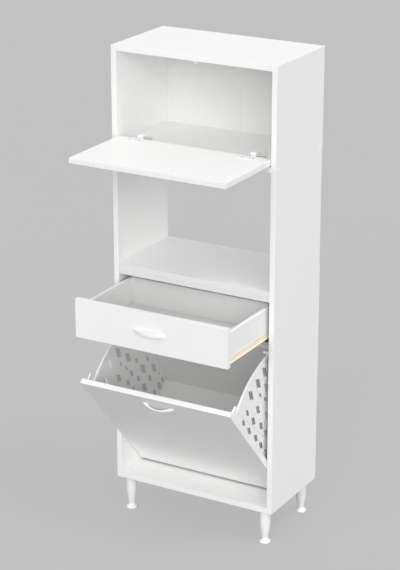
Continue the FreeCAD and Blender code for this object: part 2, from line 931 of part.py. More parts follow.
finger_low = bin_top_z - finger_drop
finger_foot = block(
    bin_half_width - finger_foot_width,
    bin_half_width + finger_foot_width,
    inside_y,
    inside_y + finger_thickness,
    finger_low - finger_foot_drop,
    finger_low + finger_width,
)
finger = block(
    bin_half_width,
    bin_half_width + finger_thickness,
    inside_y,
    inside_y + finger_reach,
    finger_low,
    finger_low + finger_width,
)
finger_tip = [
    edge
    for edge in finger.Edges
    if edge.BoundBox.YMin > inside_y + finger_thickness and edge.BoundBox.ZLength < finger_thickness
]
finger = joined([finger.makeChamfer(finger_width * edge_bevel_share, finger_tip), finger_foot])
fingers = []
pivot_pins = []
stop_pins = []


def plugged(y, z, radius, reach, plug, side, sign):
    # a round pin that reaches into the cabinet from a plug in its side
    root = at(inner_half, y, z)
    hole = peg(root, along_x, radius + fitting_play, plug + fitting_play)
    drill(side + "_side", on_side(hole, sign))
    round_end = rod(root - along_x * reach, along_x, radius, reach)
    return on_side(joined([round_end, peg(root, along_x, radius, plug)]), sign)


for side, sign in sides:
    save("bin_cheek_" + side, bin_open(on_side(cheek, sign)))
    fingers.append(bin_open(on_side(finger, sign)))
    pin_reach = inner_half - bin_inner
    pivot_place = (bin_pivot_y, bin_pivot_z)
    pivot_pins.append(plugged(*pivot_place, bin_pin_radius, pin_reach, bin_pin_plug, side, sign))
    stop_pins.append(plugged(stop_y, stop_z, stop_pin_radius, stop_pin_length, stop_pin_plug, side, sign))
save("bin_fingers", Part.makeCompound(fingers))
save("bin_pivot_pins", Part.makeCompound(pivot_pins))
save("bin_stop_pins", Part.makeCompound(stop_pins))

slope = (lug_heel - heel).normalize()
inward = along_x.cross(slope) * bin_sheet
inward = inward if inward.y < 0 else inward * -1
rise_over_floor = slope * (bin_sheet / slope.z)
lip = inward * (1 + bin_lip_depth / bin_sheet)
under_lip = lug_heel - slope * bin_lip_height
sheet_points = [
    heel + rise_over_floor,
    lug_heel,
    lug_heel + lip,
    under_lip + lip,
    under_lip + inward,
    heel + rise_over_floor + inward,
]
bin_back = prism(sheet_points, along_x * (2 * bin_inner))
bin_back.translate(along_x * -bin_inner)
floor_points = [toe, heel, heel + rise_over_floor, toe + along_z * bin_sheet]
bin_floor = prism(floor_points, along_x * (2 * bin_inner))
bin_floor.translate(along_x * -bin_inner)
save("bin_back", bin_open(bin_back))
save("bin_floor", bin_open(bin_floor))
bin_door = block(-front_half, front_half, front_y, inside_y, bin_z, bin_top_z)
save("bin_door", bin_open(without(bin_door, cuts["bin_door"])))
save("bin_handle", bin_open(bin_handle))
save("bin_handle_screws", bin_open(bin_handle_screws))

# Carcass boards, with the holes that their fittings need
boards = {
    "left_side": (-half_width, -inner_half, front_y, rear_y, base_z, top_z),
    "right_side": (inner_half, half_width, front_y, rear_y, base_z, top_z),
    "top_panel": (-inner_half, inner_half, front_y, rear_y, top_z - board, top_z),
    "upper_shelf": (-inner_half, inner_half, front_y, rear_y, upper_shelf_z, upper_shelf_z + board),
    "niche_shelf": (-inner_half, inner_half, front_y, rear_y, niche_shelf_z, niche_shelf_z + board),
    "niche_rail": (-inner_half, inner_half, front_y, inside_y, rail_z, rail_z + rail_height),
    "bottom_panel": (-inner_half, inner_half, front_y, rear_y, base_z, base_z + board),
    "upper_back": (-half_width, half_width, rear_y, rear_y + back_board, upper_shelf_z, top_z),
    "lower_back": (-half_width, half_width, rear_y, rear_y + back_board, base_z, niche_shelf_z + board),
}
for name, limits in boards.items():
    save(name, without(block(*limits), cuts.get(name)))
save("dowels", Part.makeCompound(dowels))
save("cam_locks", Part.makeCompound(cam_locks))
save("cam_bolts", Part.makeCompound(cam_bolts))
save("shelf_screws", Part.makeCompound(shelf_screws))
save("screw_caps", Part.makeCompound(screw_caps))
save("back_nails", Part.makeCompound(nails))
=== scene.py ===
import json
import math
import bmesh
import bpy
from mathutils import Matrix, Vector


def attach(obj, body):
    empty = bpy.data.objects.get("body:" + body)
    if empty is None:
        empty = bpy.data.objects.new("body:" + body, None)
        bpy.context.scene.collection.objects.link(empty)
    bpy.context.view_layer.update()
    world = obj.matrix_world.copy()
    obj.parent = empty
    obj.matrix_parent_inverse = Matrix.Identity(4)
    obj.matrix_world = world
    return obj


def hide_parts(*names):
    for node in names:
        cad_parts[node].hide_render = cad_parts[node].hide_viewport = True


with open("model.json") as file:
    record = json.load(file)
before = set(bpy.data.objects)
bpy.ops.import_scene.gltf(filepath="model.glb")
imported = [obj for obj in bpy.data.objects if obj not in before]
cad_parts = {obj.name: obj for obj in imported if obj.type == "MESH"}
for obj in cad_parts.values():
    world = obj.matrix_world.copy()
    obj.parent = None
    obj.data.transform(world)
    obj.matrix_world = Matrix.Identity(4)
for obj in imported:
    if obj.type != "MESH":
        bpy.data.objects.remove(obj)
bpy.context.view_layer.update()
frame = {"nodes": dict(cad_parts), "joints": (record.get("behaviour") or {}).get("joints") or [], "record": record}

mm = 0.001
scene = bpy.context.scene
record = frame["record"]
joints = {joint["name"]: joint for joint in frame["joints"]}
bodyOf = {node: body for body, nodes in record["behaviour"]["bodies"].items() for node in nodes}
slotOf = {part["node"]: part["material_slot"] for part in record["subparts"]}
print("frame loaded:", len(frame["nodes"]), "nodes")


# rest pose of each moving body, told from its closed place
def hingeOpening(joint):
    pivot = Matrix.Translation(Vector(joint["pos_m"]))
    turn = Matrix.Rotation(-math.radians(joint["range_deg"][1]), 4, Vector(joint["axis"]))
    return pivot @ turn @ pivot.inverted()


def slideOpening(joint):
    return Matrix.Translation(Vector(joint["axis"]) * -joint["range_m"][0])


opening = {
    "flap": hingeOpening(joints["flap_hinge"]),
    "drawer": slideOpening(joints["drawer_slide"]),
    "bin": hingeOpening(joints["bin_hinge"]),
}


def openingOf(node):
    return opening.get(bodyOf[node], Matrix.Identity(4))


def closedPoints(node):
    back = openingOf(node).inverted()
    return [back @ vert.co for vert in frame["nodes"][node].data.vertices]


def limits(points):
    low = Vector([min(point[axis] for point in points) for axis in range(3)])
    high = Vector([max(point[axis] for point in points) for axis in range(3)])
    return low, high


def closedBox(node):
    return limits(closedPoints(node))


def camel(node):
    first, *rest = node.split("_")
    return first + "".join(word.capitalize() for word in rest)


# finishes, all from object coordinates and mesh attributes
def startFinish(name):
    finish = bpy.data.materials.new(name)
    finish.use_nodes = True
    tree = finish.node_tree
    shader = tree.nodes["Principled BSDF"]
    place = tree.nodes.new("ShaderNodeTexCoord").outputs["Object"]
    return finish, tree, shader, place


def addNoise(tree, place, scale, detail, stretch=None):
    if stretch:
        mapping = tree.nodes.new("ShaderNodeMapping")
        mapping.inputs["Scale"].default_value = stretch
        tree.links.new(place, mapping.inputs["Vector"])
        place = mapping.outputs["Vector"]
    noise = tree.nodes.new("ShaderNodeTexNoise")
    noise.inputs["Scale"].default_value = scale
    noise.inputs["Detail"].default_value = detail
    tree.links.new(place, noise.inputs["Vector"])
    return noise.outputs["Fac"]


def addCells(tree, place, scale):
    cells = tree.nodes.new("ShaderNodeTexVoronoi")
    cells.inputs["Scale"].default_value = scale
    tree.links.new(place, cells.inputs["Vector"])
    return cells.outputs["Distance"]


def addRamp(tree, factor, stops, first, second):
    ramp = tree.nodes.new("ShaderNodeValToRGB")
    tree.links.new(factor, ramp.inputs["Fac"])
    for element, stop, colour in zip(ramp.color_ramp.elements, stops, (first, second)):
        element.position = stop
        element.color = (*colour, 1.0)
    return ramp.outputs["Color"]


def addGloss(tree, shader, grain, gloss):
    # a roughness that wanders between two values
    spread = tree.nodes.new("ShaderNodeMapRange")
    for name, value in zip(("To Min", "To Max"), gloss):
        spread.inputs[name].default_value = value
    tree.links.new(grain, spread.inputs["Value"])
    tree.links.new(spread.outputs["Result"], shader.inputs["Roughness"])


grainRise = 0.2 * mm  # how far a fine grain stands up


def addBump(tree, shader, height, strength, rise=grainRise):
    bump = tree.nodes.new("ShaderNodeBump")
    bump.inputs["Strength"].default_value = strength
    bump.inputs["Distance"].default_value = rise
    tree.links.new(height, bump.inputs["Height"])
    tree.links.new(bump.outputs["Normal"], shader.inputs["Normal"])


def addShade(tree, colour, factor, tone):
    # a colour times a tone, by as much as the factor says
    blend = tree.nodes.new("ShaderNodeMix")
    blend.data_type = "RGBA"
    blend.blend_type = "MULTIPLY"
    tree.links.new(factor, blend.inputs["Factor"])
    tree.links.new(colour, blend.inputs["A"])
    blend.inputs["B"].default_value = (*tone, 1.0)
    return blend.outputs["Result"]


def addTone(tree, colour, mark, tone):
    # faces marked on the mesh take a different tone from the rest: edge bands their own colour, and faces with
    # painted shade a darker one
    band = tree.nodes.new("ShaderNodeAttribute")
    band.attribute_name = mark
    return addShade(tree, colour, band.outputs["Fac"], tone)


def addMath(tree, operation, first, second):
    node = tree.nodes.new("ShaderNodeMath")
    node.operation = operation
    for socket, value in zip(node.inputs, (first, second)):
        if isinstance(value, float):
            socket.default_value = value
        else:
            tree.links.new(value, socket)
    return node.outputs["Value"]


def addAlong(tree, place, start, direction):
    # distance of a place from a start point, counted along a direction
    offset = tree.nodes.new("ShaderNodeVectorMath")
    offset.operation = "SUBTRACT"
    offset.inputs[1].default_value = start
    tree.links.new(place, offset.inputs[0])
    along = tree.nodes.new("ShaderNodeVectorMath")
    along.operation = "DOT_PRODUCT"
    along.inputs[1].default_value = direction
    tree.links.new(offset.outputs["Vector"], along.inputs[0])
    return along.outputs["Value"]


def addCrease(tree, place, start, end, facing, width):
    # 1 on a thin straight line across a flat sheet
    direction = (end - start).normalized()
    across = addAlong(tree, place, start, direction.cross(facing))
    along = addAlong(tree, place, start, direction)
    thin = addMath(tree, "LESS_THAN", addMath(tree, "ABSOLUTE", across, 0.0), width / 2)
    begun = addMath(tree, "GREATER_THAN", along, 0.0)
    ended = addMath(tree, "LESS_THAN", along, (end - start).length)
    return addMath(tree, "MULTIPLY", thin, addMath(tree, "MULTIPLY", begun, ended))


def addCreaseShade(tree, place, colour, creases, facing, look):
    # each line, a crease in the cheek and a fold in the back, gets a stripe of painted shade
    for start, end in creases:
        crease = addCrease(tree, place, start, end, facing, look["creaseWidth"])
        colour = addShade(tree, colour, crease, look["creaseTone"])
    return colour


melamineLook = {
    "pale": (0.925, 0.925, 0.918),
    "deep": (0.910, 0.911, 0.905),
    "bandTone": (0.985, 0.982, 0.972),
    # painted shade for the drawer's inner faces and the niche's front faces, which the open flap shadows
    "linerTone": (0.68, 0.68, 0.68),
    "cloudScale": 2.3,
    "cloudDetail": 4.0,
    "cloudStops": (0.35, 0.68),
    "pearlScale": 1400.0,
    "pearlDepth": 0.06,
    "peelScale": 380.0,
    "peelDetail": 3.0,
    "gloss": (0.36, 0.46),
    "shine": 0.42,
}


def whiteMelamine():
    finish, tree, shader, place = startFinish("whiteMelamine")
    look = melamineLook
    clouds = addNoise(tree, place, look["cloudScale"], look["cloudDetail"])
    colour = addRamp(tree, clouds, look["cloudStops"], look["deep"], look["pale"])
    colour = addTone(tree, colour, "edgeBand", look["bandTone"])
    # painted shade on the faces marked for the open flap's shadow
    colour = addTone(tree, colour, "liner", look["linerTone"])
    tree.links.new(colour, shader.inputs["Base Color"])
    addGloss(tree, shader, addNoise(tree, place, look["peelScale"], look["peelDetail"]), look["gloss"])
    addBump(tree, shader, addCells(tree, place, look["pearlScale"]), look["pearlDepth"])
    shader.inputs["Specular IOR Level"].default_value = look["shine"]
    return finish


hardboardLook = {
    "pale": (0.860, 0.860, 0.852),
    "deep": (0.842, 0.842, 0.834),
    # painted shade for the drawer bottom, in the open flap's shadow
    "linerTone": (0.68, 0.68, 0.68),
    "fibreScale": 60.0,
    "fibreStretch": (1.0, 1.0, 0.22),
    "fibreDetail": 6.0,
    "fibreStops": (0.3, 0.62),
    "fibreDepth": 0.08,
    "fibreRise": 0.3 * mm,
    "grainScale": 900.0,
    "grainDetail": 2.0,
    "gloss": (0.42, 0.56),
    "creaseWidth": 1.5 * mm,
    # painted shade of the fold line down the upper back
    "creaseTone": (0.84, 0.84, 0.84),
    "fold": (0.06, 0.50),  # shares of the upper back's height that the painted fold shade spans, at its middle
}


def whiteHardboard(name, creases=()):
    finish, tree, shader, place = startFinish(name)
    look = hardboardLook
    fibres = addNoise(tree, place, look["fibreScale"], look["fibreDetail"], look["fibreStretch"])
    colour = addRamp(tree, fibres, look["fibreStops"], look["deep"], look["pale"])
    # painted shade on the faces marked for the open flap's shadow
    colour = addTone(tree, colour, "liner", look["linerTone"])
    # painted shade along the fold line
    colour = addCreaseShade(tree, place, colour, creases, Vector((0, 1, 0)), look)
    tree.links.new(colour, shader.inputs["Base Color"])
    addGloss(tree, shader, addNoise(tree, place, look["grainScale"], look["grainDetail"]), look["gloss"])
    addBump(tree, shader, fibres, look["fibreDepth"], look["fibreRise"])
    return finish


powderLook = {
    "pale": (0.945, 0.850, 0.715),
    "deep": (0.925, 0.822, 0.680),
    "cloudScale": 9.0,
    "cloudDetail": 3.0,
    "cloudStops": (0.3, 0.7),
    "speckScale": 1900.0,
    "speckDetail": 2.0,
    "speckDepth": 0.12,
    "gloss": (0.32, 0.50),
}


def creamPowderCoat():
    finish, tree, shader, place = startFinish("creamPowderCoat")
    look = powderLook
    clouds = addNoise(tree, place, look["cloudScale"], look["cloudDetail"])
    colour = addRamp(tree, clouds, look["cloudStops"], look["deep"], look["pale"])
    tree.links.new(colour, shader.inputs["Base Color"])
    specks = addNoise(tree, place, look["speckScale"], look["speckDetail"])
    addGloss(tree, shader, specks, look["gloss"])
    addBump(tree, shader, specks, look["speckDepth"])
    return finish


zincLook = {
    "pale": (0.62, 0.63, 0.64),
    "deep": (0.47, 0.48, 0.50),
    "spangleScale": 260.0,
    "spangleStops": (0.0, 0.8),
    "streakScale": 420.0,
    "streakStretch": (1.0, 0.12, 1.0),
    "streakDetail": 3.0,
    "streakDepth": 0.08,
    "gloss": (0.26, 0.48),
    "metal": 0.9,
}


def brightZinc():
    finish, tree, shader, place = startFinish("brightZinc")
    look = zincLook
    spangle = addCells(tree, place, look["spangleScale"])
    colour = addRamp(tree, spangle, look["spangleStops"], look["pale"], look["deep"])
    tree.links.new(colour, shader.inputs["Base Color"])
    streaks = addNoise(tree, place, look["streakScale"], look["streakDetail"], look["streakStretch"])
    addGloss(tree, shader, streaks, look["gloss"])
    addBump(tree, shader, streaks, look["streakDepth"])
    shader.inputs["Metallic"].default_value = look["metal"]
    return finish


mouldFlow = {"detail": 5.0, "stops": (0.32, 0.66), "grainDetail": 2.0}  # the same in every plastic


def mouldedPlastic(name, look, creases=()):
    finish, tree, shader, place = startFinish(name)
    flow = addNoise(tree, place, look["flowScale"], mouldFlow["detail"], look["flowStretch"])
    colour = addRamp(tree, flow, mouldFlow["stops"], look["deep"], look["pale"])
    colour = addTone(tree, colour, "edgeBand", look["rimTone"])
    # painted shade on the walls of the cheek holes and on the webs across them
    if "wallTone" in look:
        colour = addTone(tree, colour, "holeWall", look["wallTone"])
    # painted shade along the cheek's crease lines
    colour = addCreaseShade(tree, place, colour, creases, Vector((1, 0, 0)), look)
    tree.links.new(colour, shader.inputs["Base Color"])
    grain = addNoise(tree, place, look["grainScale"], mouldFlow["grainDetail"])
    addGloss(tree, shader, grain, look["gloss"])
    addBump(tree, shader, grain, look["grainDepth"])
    return finish


fittingPlasticLook = {
    "pale": (0.935, 0.935, 0.930),
    "deep": (0.918, 0.918, 0.913),
    "rimTone": (1.0, 1.0, 1.0),
    "flowScale": 18.0,
    "flowStretch": (1.0, 1.0, 0.35),
    "grainScale": 900.0,
    "grainDepth": 0.05,
    "gloss": (0.26, 0.38),
}
binPlasticLook = {
    "pale": (0.905, 0.905, 0.899),
    "deep": (0.888, 0.888, 0.882),
    "rimTone": (1.0, 1.0, 1.0),
    "flowScale": 7.0,
    "flowStretch": (1.0, 0.6, 0.3),
    "grainScale": 1300.0,
    "grainDepth": 0.10,
    "gloss": (0.44, 0.58),
    # painted shade for the hole walls and the webs
    "wallTone": (0.34, 0.34, 0.34),
    # the lines of painted shade where the right cheek creases: their width, their tone and where they run
    "creaseWidth": 1.6 * mm,
    "creaseTone": (0.62, 0.62, 0.62),
    "creases": (  # ends: depth behind the door's front, height over its foot
        ((44, 500), (77, 262)),
        ((164, 448), (142, 343)),
    ),
}
# a whiter copy of the fitting plastic: partly the caps' own whiter plastic and partly painted light, which also
# lifts the flap stop out of its shade
capWhiteAndPaintedLightLook = {
    **fittingPlasticLook,
    "pale": (0.990, 0.990, 0.988),
    "deep": (0.975, 0.975, 0.973),
}
nylonLook = {  # rollers
    "pale": (0.700, 0.700, 0.690),
    "deep": (0.640, 0.640, 0.632),
    "rimTone": (0.95, 0.95, 0.95),
    "flowScale": 60.0,
    "flowStretch": (1.0, 1.0, 1.0),
    "grainScale": 2200.0,
    "grainDepth": 0.06,
    "gloss": (0.30, 0.44),
}
barrelNylonLook = {
    **nylonLook,
    "pale": (0.580, 0.580, 0.570),
    "deep": (0.525, 0.525, 0.517),
}
lacquerLook = {
    "pale": (0.930, 0.930, 0.927),
    "deep": (0.915, 0.915, 0.912),
    "cloudScale": 14.0,
    "cloudDetail": 3.0,
    "cloudStops": (0.3, 0.7),
    "peelScale": 700.0,
    "peelDetail": 2.0,
    "peelDepth": 0.04,
    "gloss": (0.16, 0.24),
    "coat": 0.35,
    "coatRoughness": 0.08,
}


def whiteLacquer():
    finish, tree, shader, place = startFinish("whiteLacquer")
    look = lacquerLook
    clouds = addNoise(tree, place, look["cloudScale"], look["cloudDetail"])
    colour = addRamp(tree, clouds, look["cloudStops"], look["deep"], look["pale"])
    tree.links.new(colour, shader.inputs["Base Color"])
    peel = addNoise(tree, place, look["peelScale"], look["peelDetail"])
    addGloss(tree, shader, peel, look["gloss"])
    addBump(tree, shader, peel, look["peelDepth"])
    shader.inputs["Coat Weight"].default_value = look["coat"]
    shader.inputs["Coat Roughness"].default_value = look["coatRoughness"]
    return finish


beechLook = {
    "pale": (0.610, 0.380, 0.190),
    "deep": (0.470, 0.270, 0.125),
    "ringScale": 55.0,
    "ringWaver": 4.0,
    "ringStops": (0.2, 0.8),
    "fleckScale": 500.0,
    "fleckStretch": (0.15, 1.0, 1.0),
    "fleckDetail": 2.0,
    "fleckDepth": 0.15,
    "gloss": (0.55, 0.70),
}


def flutedBeech():
    finish, tree, shader, place = startFinish("flutedBeech")
    look = beechLook
    rings = tree.nodes.new("ShaderNodeTexWave")
    rings.wave_type = "RINGS"
    rings.inputs["Scale"].default_value = look["ringScale"]
    rings.inputs["Distortion"].default_value = look["ringWaver"]
    tree.links.new(place, rings.inputs["Vector"])
    colour = addRamp(tree, rings.outputs["Fac"], look["ringStops"], look["deep"], look["pale"])
    tree.links.new(colour, shader.inputs["Base Color"])
    flecks = addNoise(tree, place, look["fleckScale"], look["fleckDetail"], look["fleckStretch"])
    addGloss(tree, shader, flecks, look["gloss"])
    addBump(tree, shader, flecks, look["fleckDepth"])
    return finish


# places of the painted shade lines on the right cheek
def cheekCreases():
    foot = closedBox("bin_door")[0]
    places = []
    for line in binPlasticLook["creases"]:
        ends = [Vector((0, foot.y + depth * mm, foot.z + rise * mm)) for depth, rise in line]
        places.append([opening["bin"] @ end for end in ends])
    return places


def backFold():
    # the back is folded for transport, and a line of painted shade stands where light would graze the fold
    low, high = closedBox("upper_back")
    return [Vector((0, 0, low.z + share * (high.z - low.z))) for share in hardboardLook["fold"]]


finishes = {
    "white_board": whiteMelamine(),
    "white_hardboard": whiteHardboard("whiteHardboard"),
    "beech": flutedBeech(),
    "zinc_steel": brightZinc(),
    "cream_steel": creamPowderCoat(),
    "white_plastic": mouldedPlastic("whiteFittingPlastic", fittingPlasticLook),
    "bin_plastic": mouldedPlastic("whiteBinPlastic", binPlasticLook),
    "grey_nylon": mouldedPlastic("rollerNylon", nylonLook),
    "white_lacquer": whiteLacquer(),
}
# painted light on the screw caps and the flap stop, on top of the caps' own whiter plastic
capWhiteAndPaintedLight = mouldedPlastic("brightCapPlastic", capWhiteAndPaintedLightLook)
ownFinishes = {  # pieces that differ a little from the rest of their slot, some by painted shade lines and some by painted light
    "upper_back": whiteHardboard("foldedHardboard", [backFold()]),
    "bin_cheek_right": mouldedPlastic("creasedBinPlastic", binPlasticLook, cheekCreases()),
    "screw_caps": capWhiteAndPaintedLight,
    "flap_stop": capWhiteAndPaintedLight,
}


def finishOf(node):
    return ownFinishes.get(node, finishes[slotOf[node]])


for node, obj in frame["nodes"].items():  # the fittings inside the boards stay as CAD nodes
    obj.data.materials.clear()
    obj.data.materials.append(finishOf(node))
print("finishes made:", len(finishes) + len(ownFinishes))


# finished pieces, each one object that stands for CAD nodes of one body
def addPiece(name, mesh, nodes):
    piece = bpy.data.objects.new(name, mesh)
    scene.collection.objects.link(piece)
    if not mesh.materials:
        mesh.materials.append(finishOf(nodes[0]))
    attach(piece, bodyOf[nodes[0]])
    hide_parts(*nodes)


def bakedMesh(obj, name):
    graph = bpy.context.evaluated_depsgraph_get()
    graph.update()
    mesh = bpy.data.meshes.new_from_object(obj.evaluated_get(graph))
    mesh.name = name
    return mesh


def weightedMesh(mesh, name):
    # shading follows the large faces, so rounded edges read as thin highlights
    holder = bpy.data.objects.new(name + "Shading", mesh)
    scene.collection.objects.link(holder)
    weighting = holder.modifiers.new("weighting", "WEIGHTED_NORMAL")
    weighting.keep_sharp = True
    result = bakedMesh(holder, name)
    bpy.data.objects.remove(holder)
    return result


meshLook = {
    "sharpAngle": 40.0,  # sharper edges aren't shaded smooth
    "mergeGap": 0.004 * mm,
    "flatAngle": 0.5,  # triangles of one flat face differ by less
    "skin": 1 * mm,  # points this near an outer face belong to it
    "facing": 0.9,  # cosine past which a face looks a given way
    "sliver": 0.01 * mm,  # narrower faces are left over where roundings meet
}


def meshFrom(bm, name):
    for face in bm.faces:
        face.smooth = True
    for edge in bm.edges:
        edge.smooth = edge.calc_face_angle(0.0) < math.radians(meshLook["sharpAngle"])
    mesh = bpy.data.meshes.new(name)
    bm.to_mesh(mesh)
    bm.free()
    return mesh


def outwardMesh(bm, name):
    bmesh.ops.recalc_face_normals(bm, faces=bm.faces)
    return meshFrom(bm, name)


def weldedCopy(node):
    # the CAD node's loose triangles joined at their corners
    bm = bmesh.new()
    bm.from_mesh(frame["nodes"][node].data)
    bmesh.ops.remove_doubles(bm, verts=bm.verts, dist=meshLook["mergeGap"])
    return bm


def mergedCopy(node):
    # the CAD solid with whole flat faces in place of triangles
    bm = weldedCopy(node)
    flat = math.radians(meshLook["flatAngle"])
    bmesh.ops.dissolve_limit(bm, angle_limit=flat, verts=bm.verts, edges=bm.edges)
    return bm


def roundRims(bm, look):
    band = bm.faces.layers.float.new("edgeBand")
    rims = [
        edge
        for edge in bm.edges
        if edge.is_convex
        and edge.calc_face_angle(0.0) > math.radians(look["fromAngle"])
        and edge.calc_length() > look["shortest"]
    ]
    made = bmesh.ops.bevel(
        bm,
        geom=rims,
        offset=look["round"],
        offset_type="OFFSET",
        segments=look["steps"],
        profile=0.5,  # round
        affect="EDGES",
        clamp_overlap=True,
    )
    for face in made["faces"]:
        face[band] = 1.0
    bmesh.ops.dissolve_degenerate(bm, dist=meshLook["sliver"], edges=bm.edges)


paintedShadeFaces = {  # faces with painted shade, standing for the open flap's shadow on the drawer and the niche: which way they look in the closed place, and how grey the painted shade makes them
    "drawer_back": (Vector((0, -1, 0)), 0.8),
    "drawer_bottom": (Vector((0, 0, 1)), 0.65),
    "drawer_side_left": (Vector((1, 0, 0)), 0.3),
    "drawer_side_right": (Vector((-1, 0, 0)), 0.3),
    "niche_rail": (Vector((0, -1, 0)), 0.5),
    "niche_shelf": (Vector((0, -1, 0)), 0.4),
}


# marks the faces that take painted shade for the open flap's shadow
def markPaintedShade(bm, node):
    liner = bm.faces.layers.float.new("liner")
    way, share = paintedShadeFaces[node]
    for face in bm.faces:
        if face.normal.dot(way) > meshLook["facing"]:  # bodies that slide keep their directions
            face[liner] = share


raisedTops = {"drawer_back": 7 * mm}  # boards that the photo shows taller
crestLook = {"rise": 24 * mm, "sink": 2 * mm, "skin": 0.2 * mm, "thickness": 2.6 * mm}


def addCrest(bm):
    # the bin's back sheet runs on above its lip
    foot = max(bm.verts, key=lambda vert: vert.co.y).co
    head = max(bm.verts, key=lambda vert: vert.co.z).co
    half = max(vert.co.x for vert in bm.verts)
    up = Vector((0, head.y - foot.y, head.z - foot.z)).normalized()
    forwards = Vector((1, 0, 0)).cross(up)
    corners = []
    for across in (-half, half):
        end = Vector((across, head.y, head.z))
        for rise in (-crestLook["sink"], crestLook["rise"]):
            for depth in (crestLook["skin"], crestLook["skin"] + crestLook["thickness"]):
                corners.append(bm.verts.new(end + up * rise + forwards * depth))
    bmesh.ops.convex_hull(bm, input=corners)


def roundedCopy(node, look):
    bm = mergedCopy(node)
    if node in paintedShadeFaces:
        markPaintedShade(bm, node)
    if node in raisedTops:
        top = max(vert.co.z for vert in bm.verts)
        edge = [vert for vert in bm.verts if vert.co.z > top - meshLook["skin"]]
        bmesh.ops.translate(bm, verts=edge, vec=(0, 0, raisedTops[node]))
    if node == "bin_back":
        addCrest(bm)
    roundRims(bm, look)
    return weightedMesh(outwardMesh(bm, camel(node)), camel(node))


boardLook = {"round": 0.9 * mm, "steps": 3, "fromAngle": 65, "shortest": 11 * mm}
sheetLook = {"round": 0.5 * mm, "steps": 2, "fromAngle": 65, "shortest": 3 * mm}
steelLook = {"round": 0.3 * mm, "steps": 2, "fromAngle": 65, "shortest": 1 * mm}
mouldLook = {"round": 1.1 * mm, "steps": 3, "fromAngle": 30, "shortest": 2.5 * mm}
roundedNodes = [
    (boardLook, ("left_side", "right_side", "top_panel", "upper_shelf")),
    (boardLook, ("niche_shelf", "niche_rail", "bottom_panel", "flap_panel")),
    (boardLook, ("drawer_front", "drawer_side_left", "drawer_side_right", "drawer_back", "bin_door")),
    (sheetLook, ("upper_back", "lower_back", "drawer_bottom", "bin_back", "bin_floor")),
    (steelLook, ("cabinet_runner_left", "cabinet_runner_right", "drawer_runner_left", "drawer_runner_right")),
    (steelLook, ("flap_hinge_leaf_left", "flap_hinge_leaf_right", "flap_hinge_pins")),
    (mouldLook, ("flap_hinge_block_left", "flap_hinge_block_right", "flap_stop", "bin_fingers")),
]
for look, nodes in roundedNodes:
    for node in nodes:
        addPiece(camel(node), roundedCopy(node, look), [node])
print("boards, sheets and sections rounded")


# perforated bin cheeks: hole walls darkened with painted shade, and thin webs with painted shade across the holes
# where the left cheek faces the cabinet side
cheekLook = {
    **sheetLook,
    "holeSides": 4,
    "wallSlope": 0.01,  # a wall straight through the sheet has less X than this in its normal
    # how much painted shade the hole walls take on each cheek
    "wallShare": {"left": 0.5, "right": 1.0},
    "webReach": 60 * mm,
    "webDepth": 1.0 * mm,
    "webThickness": 0.8 * mm,
    "webTuck": 0.3 * mm,
    # how much painted shade the webs take, for the dim gap behind the holes
    "webShare": 0.55,
}


def holeWalls(bm):
    # four flat walls that close on themselves make a lozenge hole
    unseen = {face for face in bm.faces if abs(face.normal.x) < cheekLook["wallSlope"]}
    holes = []
    while unseen:
        queue = [unseen.pop()]
        group = []
        while queue:
            face = queue.pop()
            group.append(face)
            for other in {other for edge in face.edges for other in edge.link_faces} & unseen:
                unseen.discard(other)
                queue.append(other)
        if len(group) == cheekLook["holeSides"]:
            holes.append(group)
    return holes


def cheekMesh(node, side):
    bm = mergedCopy(node)
    # marks the faces that take painted shade: hole walls and webs
    wall = bm.faces.layers.float.new("holeWall")
    front = closedBox("right_side")[0].y
    inner = max(vert.co.x for vert in bm.verts)
    holes = holeWalls(bm)
    webs = []
    for group in holes:
        # the hole walls take painted shade
        for face in group:
            face[wall] = cheekLook["wallShare"][side]
        verts = {vert for face in group for vert in face.verts}
        corners = [vert.co.copy() for vert in verts if vert.co.x > inner - meshLook["skin"]]
        middle = sum(corners, Vector()) / len(corners) if corners else None
        if side == "left" and middle and middle.y > front - cheekLook["webReach"]:
            tuck = cheekLook["webTuck"]  # the web's rim sits in the hole's walls
            webs.append([point + (point - middle).normalized() * tuck for point in corners])
    print(node, "holes:", len(holes), "webs:", len(webs))
    roundRims(bm, cheekLook)
    depths = (cheekLook["webDepth"], cheekLook["webDepth"] + cheekLook["webThickness"])
    for web in webs:
        corners = [bm.verts.new(point - Vector((depth, 0, 0))) for point in web for depth in depths]
        # the webs take painted shade, standing for the dim gap behind the holes
        for part in bmesh.ops.convex_hull(bm, input=corners)["geom"]:
            if isinstance(part, bmesh.types.BMFace):
                part[wall] = cheekLook["webShare"]
    return weightedMesh(outwardMesh(bm, camel(node)), camel(node))


for side in ("left", "right"):
    node = "bin_cheek_" + side
    addPiece(camel(node), cheekMesh(node, side), [node])
print("bin cheeks perforated")


# turned legs: a smooth outline through a few heights, spun round
legLook = {
    "sides": 48,
    "stepsBetween": 6,
    "outline": (  # height over the floor and radius, in mm
        (0.0, 15.2), (1.0, 17.3), (3.0, 19.0), (5.5, 19.4), (8.0, 18.5), (10.5, 16.1), (12.5, 13.6),
        (14.5, 12.0), (17.0, 11.1), (20.0, 10.9), (25.0, 11.3), (32.0, 12.5), (42.0, 14.3), (56.0, 16.5),
        (70.0, 17.8), (86.0, 18.4), (124.0, 18.5),
    ),
}


def smoothValue(a, b, c, d, t):
    # a smooth curve through four values, at share t of the way from b to c
    bend = 2 * a - 5 * b + 4 * c - d
    twist = 3 * b - a - 3 * c + d
    return 0.5 * (2 * b + (c - a) * t + bend * t**2 + twist * t**3)


